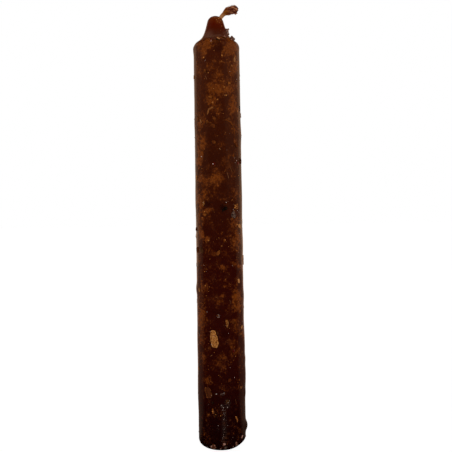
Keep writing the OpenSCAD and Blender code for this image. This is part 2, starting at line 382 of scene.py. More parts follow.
# %% The measures of the outline
# In millimetres, as the solid has them
wax_low, wax_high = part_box("wax_body")
WAX_H = wax_high.z / MM
FOOT_R = -wax_low.x / MM
FOOT_H = 20
SHOULDER_R = FOOT_R - 0.5
BASE_ROUND = 3
SIDE_H = WAX_H - 15.3
SHOULDER_ROUND = 3.6
SHOULDER_TURN = math.radians(56)
CROWN_R = 3.7
CROWN_H = 3.4
CROWN_ROOT = math.radians(16)
# How far the flank's two handles reach, as shares of its height
FLANK_PULLS = (0.4, 0.53)
print(f"wax {WAX_H:.1f} mm high on a foot {2 * FOOT_R:.1f} mm wide")


# %% Draw the half outline
def arc_pull(radius, angle):
    """How long a curve's handle is on an arc."""
    return radius * 4 / 3 * math.tan(angle / 4)


def heading(turn):
    """The way up the outline once it has turned inwards by an angle."""
    return Vector((-math.sin(turn), 0, math.cos(turn)))


def at(radius, height):
    return Vector((radius, 0, height))


def straight(start, end, cuts):
    """Knots from start to end, with the way along and the handle's length on both sides."""
    along = (end - start).normalized()
    pull = (end - start).length / cuts / 3
    return [(start.lerp(end, i / cuts), along, pull, along, pull) for i in range(cuts + 1)]


def outline_knots():
    """Each knot: its place, the way in and the handle before it, the way out and the handle after it."""
    base = straight(at(0, 0), at(FOOT_R - BASE_ROUND, 0), 1)
    foot = straight(at(FOOT_R, BASE_ROUND), at(FOOT_R, FOOT_H), 2)
    side = straight(at(FOOT_R, FOOT_H), at(SHOULDER_R, SIDE_H), 20)
    base_pull = arc_pull(BASE_ROUND, math.pi / 2)
    base[-1] = (*base[-1][:4], base_pull)
    foot[0] = (*foot[0][:2], base_pull, *foot[0][3:])
    shoulder_pull = arc_pull(SHOULDER_ROUND, SHOULDER_TURN)
    side[-1] = (*side[-1][:3], heading(0), shoulder_pull)
    round_end = at(SHOULDER_R, SIDE_H) + SHOULDER_ROUND * (
        heading(SHOULDER_TURN - math.pi / 2) - heading(-math.pi / 2))
    crown_start = at(CROWN_R * math.cos(CROWN_ROOT), WAX_H - CROWN_H * (1 - math.sin(CROWN_ROOT)))
    crown_pull = arc_pull(1, math.pi / 2 - CROWN_ROOT)
    low_pull, high_pull = (share * (crown_start.z - round_end.z) for share in FLANK_PULLS)
    off_shoulder, up_crown, level = heading(SHOULDER_TURN), heading(CROWN_ROOT), heading(math.pi / 2)
    tip = [
        (round_end, off_shoulder, shoulder_pull, off_shoulder, low_pull),
        (crown_start, up_crown, high_pull, up_crown, crown_pull * CROWN_H),
        (at(0, WAX_H), level, crown_pull * CROWN_R, level, 0.1)]
    return base + foot + side[1:] + tip


def draw(knots, steps):
    """Draws a curve through the knots, in millimetres, and makes it a chain of edges."""
    bpy.ops.curve.primitive_bezier_curve_add()
    curve = bpy.context.object
    spline = curve.data.splines[0]
    spline.bezier_points.add(len(knots) - 2)
    spline.resolution_u = steps
    for point, (place, way_in, pull_in, way_out, pull_out) in zip(spline.bezier_points, knots):
        point.handle_left_type = point.handle_right_type = "FREE"
        point.co = place * MM
        point.handle_left = (place - way_in * pull_in) * MM
        point.handle_right = (place + way_out * pull_out) * MM
    bpy.ops.object.convert(target="MESH")
    return bpy.context.object


wax = draw(outline_knots(), 18)
print("outline of", len(wax.data.vertices), "points")

# %% Spin it round the axis
WAX_SIDES = 184
edit_all(wax)
bpy.ops.mesh.spin(steps=WAX_SIDES, angle=2 * math.pi, center=(0, 0, 0), axis=(0, 0, 1))
bpy.ops.mesh.select_all(action="SELECT")
bpy.ops.mesh.remove_doubles(threshold=0.01 * MM)
bpy.ops.mesh.normals_make_consistent(inside=False)
bpy.ops.object.mode_set(mode="OBJECT")
print("skin of", len(wax.data.polygons), "faces")

# %% [markdown]
# ### Lumps, wear and the drawn tip
#
# The real candle is a little uneven. Wax ran down its right edge and set there in lumps, its base rim is
# worn on the right, and a collar shows where the bare tip was drawn out of the herbed wax. Sculpting
# would do, but a list of dents and lumps, each with its place, reach and height, is easier to correct.
# Last, all of it grows by a tenth of a millimetre, because the photograph's outline is that much wider.

# %% Where the lumps are
# Side in degrees from the front, height, reach round, reach up and how far it stands out, in millimetres.
# The last four are on the back, where the photograph shows nothing.
lumps = [
    (88, 8.7, 3.2, 2.3, 0.9), (84, 33, 4.5, 7.5, 0.4), (78, 24.5, 1.6, 2.4, 0.25), (88, 40.5, 2.5, 2, 0.2),
    (86, 48, 4, 7, 0.25), (86, 94, 4, 6, 0.18), (86, 145.5, 4, 4.5, 0.2), (-86, 27, 4, 8, 0.16),
    (-88, 118, 4, 7, 0.13), (88, 118, 4, 7, 0.12), (-86, 47, 4, 9, 0.11), (-88, 73.9, 3.5, 2.4, 0.33),
    (-85, 184.3, 2.6, 1.9, 0.2), (85, 70, 2, 3, 0.18), (-80, 150, 2.5, 3.5, 0.15), (150, 60, 5, 6, 0.35),
    (205, 120, 4, 9, 0.3), (240, 30, 4, 7, 0.35), (170, 165, 4, 5, 0.25)]
worn_rim = (72, 0, 9, 2.5, -1.15)
# How far all of it grows, how far the tip leans to the left, and how high the collar's edge is
GROWN = 0.11
TIP_LEAN = 0.35
COLLAR_H = 187.7


# %% Hills and the collar's edge
def side_of(points):
    """The angle round the candle from the front, positive to the right, in degrees."""
    return np.degrees(np.arctan2(points[:, 0], -points[:, 1]))


def round_from(points, side):
    """How far the points lie from a side angle, in millimetres round the foot."""
    return np.radians((side_of(points) - side + 180) % 360 - 180) * FOOT_R


def hill(points, side, up, round_reach, up_reach, height):
    """A soft round hill on the skin, in millimetres."""
    across = round_from(points, side) / round_reach
    along = (points[:, 2] / MM - up) / up_reach
    return height * np.exp(-1.2 * (across ** 2 + along ** 2) ** 1.3)


def collar_edge(points):
    """How high the herbed wax reaches round the tip: its edge goes up and down."""
    side = np.radians(side_of(points))
    return COLLAR_H + 0.6 * np.cos(side + 0.3) + 0.35 * np.sin(5 * side) + 0.2 * np.sin(11 * side + 1)


# %% Push the lumps out and the wear in
skin = points_of(wax)
reach = np.hypot(skin[:, 0], skin[:, 1])
outwards = skin * [1, 1, 0] / np.maximum(reach, 1e-9)[:, None]
up = skin[:, 2] / MM
herbed = 1 - smooth_step(up - collar_edge(skin), -0.1, 0.25)
swell = sum(hill(skin, *lump) for lump in lumps) + hill(skin, *worn_rim)
swell += 0.05 * noise_at(skin, 9) + 0.03 * noise_at(skin, 3.2, 1) + 0.012 * herbed * noise_at(skin, 1.1, 2)
swell += 0.09 * herbed * smooth_step(up, 183, 186.5)
swell = (swell + GROWN) * smooth_step(reach / MM, 0.5, 3)
skin += outwards * swell[:, None] * MM
skin[:, 0] -= TIP_LEAN * smooth_step(up, SIDE_H, WAX_H) * MM
skin[:, 2] = np.maximum(skin[:, 2], 0)
move_points(wax, skin)
print(f"lumps from {swell.min():.2f} to {swell.max():.2f} mm")

# %% [markdown]
# ### Where the herbs cloud the wax
#
# Powdered herb floats in the skin in amber clouds. Their places are part of this candle's looks, so each
# cloud of the front is written down as it lies in the photograph, and its density is kept on the skin's
# points. The finish then breaks it up with noise into flecks much finer than the mesh. The back, which
# the photograph doesn't show, gets about as many clouds in random places.

# %% Where the clouds are
# Left, right, top and bottom in pixels of the photograph, and density from 0 to 1
front_clouds = [
    (196, 211, 38, 50, 1), (200, 206, 47, 59, 0.85), (221, 238, 38, 56, 0.75), (208, 226, 36.5, 41.5, 0.6),
    (227, 239, 55, 76, 0.5), (196, 203, 62, 74, 0.4), (206, 226, 58, 69, 0.35), (210, 224, 103, 112, 0.4),
    (197, 206, 113, 126, 0.5), (233, 240, 122, 138, 0.4), (196.5, 207, 172, 188, 0.55),
    (200, 216, 187, 200, 0.5), (196, 204, 196, 208, 0.6), (204, 215, 215, 225, 0.45),
    (222, 232, 156, 166, 0.35), (232, 241, 186, 202, 0.4), (209, 221.5, 40, 51, 0.2),
    (221, 223.5, 53.5, 57.5, 0.75), (219.8, 221.8, 59.8, 62.4, 0.6), (223, 225.6, 61.6, 64.6, 0.65),
    (209.5, 223, 69, 80, 0.7), (204, 236, 76, 95, 0.68), (228.4, 237.4, 94, 114, 0.7),
    (203, 214.6, 94, 104.6, 0.6), (216.2, 218.6, 98.3, 100.8, 0.7), (213.1, 215.5, 101.6, 104.2, 0.7),
    (205.6, 208, 119.3, 121.8, 0.7), (195, 199, 83, 111, 0.3), (235.3, 238.6, 116, 120, 0.45),
    (199, 207, 134, 150.5, 0.8), (233, 237.6, 140, 146, 0.55), (197.4, 204.4, 150, 164, 0.75),
    (204, 225, 169, 191, 0.42), (209, 225, 174, 185, 0.65), (206, 210, 191, 201, 0.5),
    (197.6, 202, 175, 183, 0.8), (197, 205.5, 193, 209, 0.5), (202, 214.6, 209, 214, 0.6),
    (198, 204.4, 214, 226.5, 0.5), (229.4, 234, 190, 193.4, 0.35), (232, 239, 217, 230, 0.5),
    (199, 204.6, 226, 240, 0.95), (203, 211, 237.6, 242, 0.85), (232, 238.6, 227.6, 236, 0.6),
    (234, 240, 238, 247, 0.55), (235, 238, 249, 252.6, 0.45), (220, 222.8, 231, 238, 0.5),
    (224, 226, 238.6, 241.2, 0.5), (218, 228, 263, 273, 0.85), (233, 241, 261, 269, 0.6),
    (203, 206.4, 270, 272.5, 0.4), (224, 227, 278, 280.6, 0.35), (235, 241, 274, 288, 0.6),
    (202, 209, 284, 292, 0.75), (220.6, 226.6, 284.6, 290, 0.6), (220, 227, 293.4, 300, 0.75),
    (232, 242, 290, 312, 0.75), (197, 206, 294, 350, 0.65), (230, 242, 224, 250, 0.4),
    (212, 219, 250, 257, 0.4), (196, 200, 112, 172, 0.55), (197, 200.4, 186, 222, 0.6),
    (198.6, 202, 255, 300, 0.4), (231, 240.6, 316, 333, 0.7), (229, 241, 338, 360, 0.55),
    (210, 228, 354, 373, 0.45), (203, 212, 374, 385, 0.4), (214, 226, 384, 392, 0.4),
    (197, 207, 346, 366, 0.45), (207.6, 210, 413.6, 416.2, 0.7), (214.4, 216.8, 413.6, 416.4, 0.6),
    (219.6, 221.8, 414.6, 417.2, 0.6), (227.8, 231, 418, 421.4, 0.55), (239, 242, 420, 424, 0.5),
    (228, 230.4, 377.5, 382, 0.55), (237, 239.6, 377.5, 382, 0.55), (238.6, 241.4, 385, 390, 0.5)]
# The sides and the back, in degrees from the front
BACK = (85, 275)
# Side and height of the middle, half width and half height in mm, and density, for the back
chance = random.Random(11)
back_clouds = [
    (chance.uniform(*BACK), chance.uniform(18, 186), chance.uniform(1, 4.5), chance.uniform(1.2, 7),
     chance.uniform(0.35, 0.85)) for _ in range(64)]


# %% How dense they are at each point
def cloud(across, along, density):
    """A patch with round corners: full inside, gone outside."""
    off = (np.abs(across) ** 2.2 + np.abs(along) ** 2.2) ** 0.45
    return density * (1 - smooth_step(off, 0.5, 1.4))


def patches(x, y, places):
    """The densest of these patches of the photograph at each of these pixels."""
    kept = np.zeros(len(x))
    for left, right, top, bottom, density in places:
        across = (2 * x - left - right) / (right - left)
        along = (2 * y - top - bottom) / (bottom - top)
        kept = np.maximum(kept, cloud(across, along, density))
    return kept


def cloud_density(points, front):
    """How dense the herb powder is at each point. Noise shifts the points, so that edges are ragged."""
    x, y = to_pixels(points)
    x += 2.6 * noise_at(points, 4.5, 5) + 2.2 * noise_at(points, 1.7, 6)
    y += 3.2 * noise_at(points, 4.5, 7) + 2.4 * noise_at(points, 1.7, 8)
    dense = patches(x, y, front_clouds) * front
    for side, level, half_w, half_h, density in back_clouds:
        along = (points[:, 2] / MM - level) / half_h
        dense = np.maximum(dense, cloud(round_from(points, side) / half_w, along, density))
    return dense


on_front = np.abs(side_of(skin)) < 90
density = cloud_density(skin, on_front)
print(f"herb clouds cover {100 * (density > 0.3).mean():.0f}% of the skin")

# %% [markdown]
# Herb powder rings the collar too, but the photograph shows the collar bare at one place and pale with a
# painted sheen at another, and a few herbs on the crown. On the bare tip a pale sheen is painted into the
# wax's colour: it lies on both sides and leaves a dark band a little to the right of the middle.

# %% Mark the collar, the crown and the painted sheen
skin_x, skin_y = to_pixels(skin)


def spot_at(x, y, half_w, half_h, density, slope=0):
    """A cloud round a pixel of the photograph, which may slope down to the right."""
    off_x = skin_x - x
    return cloud(off_x / half_w, (skin_y - y - off_x * slope) / half_h, density)


crown_herbs = spot_at(220, 20, 4, 3.5, 0.9) * on_front
collar_herbs = 0.55 * smooth_step(up, 184.5, 187.2) * (1 - spot_at(213.5, 41, 3.5, 5, 0.9))
bare_collar = spot_at(212.7, 38, 2.7, 2.1, 1) * on_front
# Where the collar shows a painted sheen instead of herbs
collar_sheen = spot_at(228.4, 37.6, 2.9, 0.9, 0.9, slope=0.35) * on_front
herb_marks = np.maximum(np.maximum(density, collar_herbs), crown_herbs * 0.75)
mark(wax, "herb_cloud", herb_marks * (1 - bare_collar) * (1 - collar_sheen))
mark(wax, "herbed", np.maximum(herbed, crown_herbs) * (1 - 0.9 * bare_collar) * (1 - 0.7 * collar_sheen))
# The painted sheen on the bare tip: pale at both sides, dark in a band a little right of the middle
off_band = np.abs(side_of(skin) - 8)
haze = (1 - smooth_step(up, 190, 193.8)) * (0.15 + 0.85 * smooth_step(off_band, 12, 48))
haze = np.maximum(haze, 0.4 * smooth_step(off_band, 50, 75))
haze *= (1 - 0.85 * herbed) * smooth_step(up, 184.5, 187) * (1 - bare_collar)
mark(wax, "haze", np.maximum(haze, collar_sheen))
print(f"haze on {100 * (haze > 0.3).mean():.0f}% of the skin")

# %% [markdown]
# ### The grey bloom, a painted glint and the dark spots
#
# Where hot wax met the cold mould, a dull grey bloom has formed near the foot. It is rougher and paler than
# the wax round it, so it gets marks of its own, placed in the same way. The long strip down the middle of
# the foot is a painted glint as well as bloom. A few dark spots lie between the herbs.

# %% Mark the bloom, the painted glint and the dark spots
# Left, right, top and bottom in pixels of the photograph, and strength from 0 to 1
blooms_and_glint = [
    (224.5, 230.5, 399, 408.5, 0.5), (220.4, 224, 404.4, 408, 0.8), (226.4, 229, 405.4, 409, 0.5),
    # The first patch below, a long strip down the middle of the foot, is a painted glint as well as bloom
    (221.8, 227, 409, 446, 0.34), (220.6, 224.8, 392.8, 395.4, 0.9), (217, 219, 426, 432, 0.25)]
# Dark spots between the herbs
dark_patches = [
    (219.4, 227, 204.2, 211, 0.9), (204, 211, 200, 207, 0.5), (213.5, 224, 44, 52, 0.35),
    (198, 200.6, 329, 334, 0.8), (205.6, 208, 332, 336, 0.6), (233, 236, 321, 324.4, 0.6),
    (221, 229, 330, 338, 0.4), (210, 226, 309, 314, 0.3), (212, 222, 37.4, 44, 0.4)]
for name, places in (("bloom", blooms_and_glint), ("soot", dark_patches)):
    mark(wax, name, patches(skin_x, skin_y, places) * on_front)

# %% [markdown]
# ### The finish of the wax
#
# The wax is dyed through with maroon, purer and darker towards the foot and lighter at the tip. The herb
# clouds are amber and ragged: fine noise is what draws them, and the density of the cloud only tells how
# much of it comes through. Each layer is laid over the last, as a painter would: dye, the painted sheen on
# the bare tip, faint herb, strong herb, gold and amber flecks, dark spots, and the bloom's dust of pale
# specks, which also paints a glint down the middle of the foot.


# %% Mix the wax
# Share of the height, and the dye's colour there
dye_stops = [
    (0.0, (16, 0, 0)), (0.08, (24, 0, 0)), (0.165, (35, 2, 0)), (0.3, (42, 4, 0)), (0.42, (43, 4, 0)),
    (0.52, (46, 8, 0)), (0.69, (51, 14, 1)), (0.88, (58, 18, 2)), (0.95, (58, 16, 2)), (0.965, (65, 16, 1)),
    (0.977, (71, 13, 0)), (0.985, (80, 22, 0)), (1.0, (96, 42, 8))]


def wax_finish():
    wax_mix = Finish("dark_wax")
    height = wax_mix.place("Z")
    dyes = [(share, paint(*colour)) for share, colour in dye_stops]
    dye_and_sheen = wax_mix.node("ShaderNodeValToRGB", {"stops": dyes}, {0: height / (WAX_H * MM)})
    above = wax_mix.step(height, 12 * MM, 100 * MM)
    # Paints the pale sheen onto the bare tip and the collar
    dye_and_sheen = wax_mix.mix(wax_mix.mark("haze") * 0.75, dye_and_sheen, paint(92, 58, 44))
    herbed_mark = wax_mix.mark("herbed")
    cloud_mark = wax_mix.mark("herb_cloud")
    bloom_and_glint_mark = wax_mix.mark("bloom")
    drift = wax_mix.noise(4.5, 3, 0.5) - 0.5
    grain = wax_mix.noise(1.15, 5, 0.72, distortion=0.2) - 0.5
    dust = wax_mix.noise(0.42, 3, 0.6) - 0.5
    field = drift * 1.1 + grain * 1.7 + dust * 0.6 + cloud_mark * 0.62 - 0.3
    faint = wax_mix.step(field, -0.35, 0.15) * herbed_mark * (0.12 + above * 0.28)
    base = wax_mix.mix(faint, dye_and_sheen, paint(92, 40, 3))
    strong = wax_mix.step(field, -0.08, 0.3) * herbed_mark * (0.5 + above * 0.4)
    amber = wax_mix.mix(wax_mix.step(dust + grain, -0.1, 0.3), paint(90, 38, 2), paint(120, 60, 10))
    base = wax_mix.mix(strong, base, amber)
    gold = wax_mix.specks(1.5, 0.25, 0.26) * wax_mix.step(field, -0.35, 0.05)
    base = wax_mix.mix(gold * herbed_mark * 0.5, base, paint(150, 84, 26))
    fleck = wax_mix.specks(0.85, 0.25, 0.2) * wax_mix.step(field, -0.3, 0.1)
    base = wax_mix.mix(fleck * herbed_mark * (0.2 + above * 0.4), base, paint(122, 62, 12))
    # Dark specks in the herbs, and the dark spots
    dark = wax_mix.specks(1.9, 0.2, 0.36) * herbed_mark
    base = wax_mix.mix((dark * 0.4).larger(wax_mix.mark("soot")), base, paint(26, 2, 0))
    # The bloom's pale powder, which also paints the glint down the middle of the foot
    bloom_glint_specks = wax_mix.step(wax_mix.noise(0.4, 4, 0.8), 0.5, 0.62)
    base = wax_mix.mix(bloom_and_glint_mark * bloom_glint_specks, base, paint(94, 66, 54))
    relief = wax_mix.noise(2.6, 4, 0.6) * 0.6 + grain * 0.25 + strong * 0.2
    return wax_mix.shader(
        Base_Color=base,
        Specular_IOR_Level=0.3,
        Roughness=wax_mix.noise(3, 4) * 0.1 + 0.07 + herbed_mark * 0.05 + bloom_and_glint_mark * 0.3,
        Normal=wax_mix.bump(relief, 0.5, 0.22))


dark_wax = wax_finish()
bare_wax = tree_of(wax)

# %% [markdown]
# ### A burr on the tip
#
# Wax has spilt down the right of the tip and torn. The burr's ragged outline is a ring of points that is
# filled, given a thickness and worn in the same way as the herbs below.

# %% The burr
# Outwards from the flank and up from the burr's foot, in millimetres
burr_outline = [
    (-1.2, 2.8), (0.55, 2.86), (0.98, 2.96), (1.1, 2.72), (0.74, 2.4), (0.72, 1.9), (0.9, 1.5),
    (0.72, 1.2), (1.02, 0.82), (1.2, 0.5), (0.85, 0.2), (-1.2, 0)]
BURR_T = 1.5
BURR_H = 2.8
burr_side, burr_top = math.radians(83), 193.9
bpy.ops.mesh.primitive_circle_add(vertices=len(burr_outline), radius=1, fill_type="NGON")
burr = bpy.context.object
flank_r = next(math.hypot(x, y) for x, y, z in skin if z > (burr_top - BURR_H / 2) * MM)
move_points(burr, [(flank_r + out * MM, 0, (burr_top - BURR_H + rise) * MM) for out, rise in burr_outline])
modify(burr, "SOLIDIFY", thickness=BURR_T * MM, offset=0)
fuse(burr, 0.12, 0.5, 2)
roughen(burr, "torn", 0.6 * MM, 0.35 * MM)
burr.rotation_euler.z = burr_side - math.pi / 2
torn_wax = Finish("torn_wax")
torn_grain = torn_wax.step(torn_wax.noise(0.7, 3), 0.4, 0.65)
torn_mix = torn_wax.mix(torn_grain, paint(96, 56, 40), paint(170, 128, 106))
settle(burr, "wax_burr", torn_wax.shader(Base_Color=torn_mix, Roughness=0.4), "wax")

# %% [markdown]
# ## The herbs
#
# Seed husks, seeds, chips of bark and resin, leaves and stems lie half in the wax. Their solids have the
# right places and outlines, but their edges are as crisp as cut card. A copy of each is wrapped in a fine
# net of cells, which rounds the edges off, and is then roughened as dry plant matter is. It grows with
# the skin, and keeps on each point how far that stands out of the wax, as a mark named proud.


# %% Round and roughen a copy of a solid
def worn_copy(node, cell, rough, grain, warp=0.0):
    """A copy of a solid with rounded edges, a rough skin and an outline that wanders, in millimetres."""
    select(frame["nodes"][node])
    bpy.ops.object.duplicate()
    copy = bpy.context.object
    copy.parent = None
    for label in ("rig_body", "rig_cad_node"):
        del copy[label]
    edit_all(copy)
    bpy.ops.mesh.remove_doubles(threshold=0.001 * MM)
    bpy.ops.object.mode_set(mode="OBJECT")
    fuse(copy, cell, 0.6, 3)
    roughen(copy, node + "_ripple", grain * MM, rough * MM)
    points = points_of(copy)
    out = points * [1, 1, 0] / np.hypot(points[:, 0], points[:, 1])[:, None]
    wander = shifts_at(points, 1.9, (21, 22, 23), warp)
    wander -= out * (wander * out).sum(1)[:, None]
    move_points(copy, points + wander + out * GROWN * MM)
    proud = []
    for point in points_of(copy):
        place, normal, face, gap = bare_wax.find_nearest(Vector(point))
        proud.append((Vector(point) - place).dot(normal) / MM)
    mark(copy, "proud", proud)
    print(f"{node}: nine tenths of it stand {np.percentile(proud, 90):.2f} mm or less out of the wax")
    return copy


def loose_parts(piece):
    """A number for each point that tells which loose part of the mesh it belongs to."""
    parent = list(range(len(piece.data.vertices)))

    def root(i):
        while parent[i] != i:
            parent[i] = parent[parent[i]]
            i = parent[i]
        return i

    for edge in piece.data.edges:
        a, b = root(edge.vertices[0]), root(edge.vertices[1])
        parent[a] = b
    return np.unique([root(i) for i in range(len(parent))], return_inverse=True)[1]


def tone_parts(piece, seed, fixed=()):
    """Gives each loose part a random tone, mostly a dark one, and that nearest a fixed pixel its own."""
    points, part = points_of(piece), loose_parts(piece)
    draw_tone = random.Random(seed)
    tones = np.array([0.9 * draw_tone.random() ** 1.6 for _ in range(part.max() + 1)])
    middles = np.array([points[part == i].mean(0) for i in range(len(tones))])
    x, y = to_pixels(middles)
    for (pixel_x, pixel_y), tone in fixed:
        gap = np.hypot(x - pixel_x, y - pixel_y) + 99 * (middles[:, 1] > 0)
        tones[gap.argmin()] = tone
    mark(piece, "tone", tones[part])


# %% [markdown]
# ### Seed husks and brown seeds
#
# A husk is straw brown with dark specks where the seed sat, and has fine ribs along it. The brown seeds
# are duller and closer to the wax's own colour. Dry plant matter has little gloss, so its specular level
# is low.

# %% Husks and seeds
DRY = 0.03


def under_film(mix_up, base, film):
    """Lets a ragged film of wax cover what hardly stands out of it."""
    ragged = mix_up.noise(0.7, 3, 0.6) - 0.5
    bare = mix_up.step(mix_up.mark("proud") + ragged * 0.5, 0.02, 0.16)
    return mix_up.mix((1 - bare) * 0.85, base, film)


def husk_finish(name, shade, pale, speck, film=None):
    mix_up = Finish(name)
    tone = mix_up.mark("tone")
    fibre = mix_up.noise(0.5, 3, stretch=(3, 3, 0.7))
    base = mix_up.mix(mix_up.step(mix_up.noise(0.7, 4, 0.7), 0.42, 0.6), shade, pale)
    base = mix_up.mix(mix_up.specks(0.9, 0.6, 0.3) * 0.8, base, speck)
    blotch = mix_up.step(mix_up.noise(0.8, 3, 0.7), 0.54, 0.68)
    base = mix_up.mix(blotch * 0.6, base, speck)
    base = mix_up.mix(tone * 0.7, base, speck)
    if film:
        base = under_film(mix_up, base, film)
    return mix_up.shader(
        Base_Color=base,
        Specular_IOR_Level=DRY,
        Roughness=0.55 + fibre * 0.2,
        Normal=mix_up.bump(fibre, 0.7, 0.15))


# %% Wear the husks and the seeds
# The husks of the photograph are slimmer than their solids by this share
SLIMMED = 0.17
husks = worn_copy("seed_husks", 0.11, 0.14, 0.6, 0.6)
tone_parts(husks, 3, [((213.5, 338.5), 0), ((226.5, 322.5), 0), ((203.8, 203), 0.7)])
husk_points, husk_part = points_of(husks), loose_parts(husks)
for i in range(husk_part.max() + 1):
    chosen = husk_part == i
    middle = husk_points[chosen].mean(0)
    aside = np.cross([0, 0, 1], middle / np.hypot(*middle[:2]))
    off = ((husk_points[chosen] - middle) @ aside)[:, None]
    husk_points[chosen] -= SLIMMED * off * aside
move_points(husks, husk_points)
straw = husk_finish("husk", paint(112, 58, 14), paint(184, 126, 66), paint(66, 26, 4))
settle(husks, "seed_husk_skins", straw, "husk", "seed_husks")
brown_seeds = worn_copy("brown_seeds", 0.1, 0.12, 0.6, 0.55)
tone_parts(brown_seeds, 4, [((208.4, 391.9), 0.1)])
brown = husk_finish("brown_seed", paint(56, 20, 4), paint(104, 54, 20), paint(26, 4, 0), paint(66, 28, 8))
settle(brown_seeds, "brown_seed_skins", brown, "seed", "brown_seeds")

# %% [markdown]
# ### Bark, amber herb, leaves, stems and resin
#
# The chips differ mostly in colour, from pale tan to near black, and lie flush with the wax, which wets
# them and darkens their edges. Resin is glassy and dark red. Leaves are thin and grey.


# %% Chips, leaves, stems and resin
def chip_finish(name, dark, light, film, roughness=0.55):
    mix_up = Finish(name)
    tone = mix_up.mark("tone")
    grain = mix_up.noise(0.6, 4, 0.65)
    base = mix_up.mix(tone * 0.8 + (grain - 0.5) * 0.9, dark, light)
    wet = mix_up.step(mix_up.noise(1.3, 2), 0.5, 0.66)
    base = mix_up.mix(wet * 0.35, base, paint(34, 10, 4))
    grey = mix_up.mix(mix_up.step(grain, 0.42, 0.58), paint(38, 20, 14), paint(96, 74, 62))
    base = mix_up.mix(mix_up.step(tone, 0.95, 0.99), base, grey)
    base = under_film(mix_up, base, film)
    return mix_up.shader(
        Base_Color=base,
        Specular_IOR_Level=DRY,
        Roughness=roughness + grain * 0.15,
        Normal=mix_up.bump(grain, 0.5, 0.12))


# Node, slot, cell in millimetres, the two ends of its tones, the film's colour and its roughness
chip_looks = [
    ("bark_chips", "bark", 0.1, paint(84, 38, 8), paint(176, 122, 72), paint(48, 16, 4), 0.55),
    ("amber_chips", "amber_herb", 0.1, paint(70, 26, 3), paint(150, 86, 28), paint(48, 16, 4), 0.45),
    ("leaf_flakes", "leaf", 0.09, paint(14, 5, 3), paint(112, 66, 28), paint(20, 5, 2), 0.5),
    ("dry_stems", "stem", 0.1, paint(92, 42, 6), paint(138, 86, 42), paint(60, 22, 5), 0.5)]
# Pixels of the photograph, and the tone of the chip that shows there
fixed_tones = {
    "bark_chips": [
        ((237.7, 280.2), 0.85), ((241, 327.5), 0.9), ((217.6, 38.3), 0.9), ((233.9, 59.3), 0.4),
        ((213.5, 411.9), 0.9), ((238.3, 379.7), 0), ((240.2, 387.7), 0.3), ((236.2, 443.4), 0.2)],
    "amber_chips": [
        ((217.6, 252.7), 0.4), ((237, 420), 0.7), ((213.9, 142), 0.1), ((214.1, 118.3), 0.2),
        ((230, 420), 0.2), ((213.2, 125.7), 0.1), ((228.7, 83), 0.6), ((229.1, 380.4), -0.4),
        ((205.6, 214.3), 0.5), ((210.5, 96.9), 0.6), ((224.3, 37.6), 0.7)],
    "leaf_flakes": [
        ((223.9, 208.5), 0), ((232.8, 213.3), 1), ((225.6, 447.3), 1), ((227.5, 402), 0.35),
        ((202, 249.9), 0.4), ((212.7, 402.9), 0.3), ((216, 414.6), 0.3)],
    "dry_stems": []}
# All that crumbs can lie on
laid = [wax, husks, brown_seeds]
for i, (node, slot, cell, dark_tone, light_tone, film, dullness) in enumerate(chip_looks):
    chips = worn_copy(node, cell, 0.24, 0.55, 0.5)
    tone_parts(chips, 20 + i, fixed_tones[node])
    settle(chips, node + "_worn", chip_finish(slot, dark_tone, light_tone, film, dullness), slot, node)
    laid.append(chips)


def resin_finish():
    mix_up = Finish("red_resin")
    swirl = mix_up.noise(1.2, 2)
    base = mix_up.mix(swirl, paint(92, 10, 2), paint(38, 0, 0))
    return mix_up.shader(Base_Color=base, Roughness=0.18, Coat_Weight=0.6, Coat_Roughness=0.08)


resin = worn_copy("resin_beads", 0.1, 0.12, 1.1)
settle(resin, "resin_drops", resin_finish(), "resin", "resin_beads")
shoulder_bark = worn_copy("shoulder_chip", 0.08, 0.15, 0.5)
tone_parts(shoulder_bark, 30, [((231.5, 37.5), 0.3)])
laid += [resin, shoulder_bark]
dark_bark = chip_finish("dark_bark", paint(60, 28, 18), paint(176, 136, 116), paint(48, 16, 6))
settle(shoulder_bark, "shoulder_bark", dark_bark, "dark_bark", "shoulder_chip")

# %% [markdown]
# ### Bed the herbs in the wax
#
# The skin was made without a thought of the herbs, and would fill the husks' hollows. A ray shot inwards
# from each of its points tells where a herb lies, and the skin is pushed just below the herb's face.


# %% Push the skin below the herbs
def bed(skin_piece, beds, depth, bare_r=4, above=3, reach=4.5):
    """Pushes the skin this far below the faces of the pieces that lie in it, in millimetres.

    The rays start this far above the skin. Within bare_r of the axis there are no herbs."""
    points = points_of(skin_piece)
    trees = [tree_of(piece) for piece in beds]
    pushed = 0
    for i, (x, y, z) in enumerate(points):
        r = math.hypot(x, y)
        if r < bare_r * MM:
            continue
        inwards = Vector((-x / r, -y / r, 0))
        start = Vector((x, y, z)) - inwards * above * MM
        for tree in trees:
            place = tree.ray_cast(start, inwards, reach * MM)[0]
            if place and math.hypot(*points[i][:2]) > math.hypot(*place[:2]) - depth * MM:
                floor_share = (math.hypot(*place[:2]) - depth * MM) / r
                points[i] = (x * floor_share, y * floor_share, z)
                pushed += 1
    move_points(skin_piece, points)
    return pushed


chips_in_wax = [frame["nodes"][look[0]] for look in chip_looks[:3]]
print("skin points pushed below husks:", bed(wax, [husks, brown_seeds], 0.2))
print("skin points pushed below chips:", bed(wax, chips_in_wax, 0.04))
settle(wax, "wax_skin", dark_wax, "wax", "wax_body")

# %% [markdown]
# ### Crumbs, crystals and fibres
#
# Between the herbs the skin is strewn with crumbs: broken herb, white salt crystals, some of which stand
# for painted highlights, and bits of fibre. Two shapes are modelled, a rough crumb and a bent fibre. Copies
# are set on the skin, first those that the photograph shows, then random ones, so that the back is strewn
# like the front.

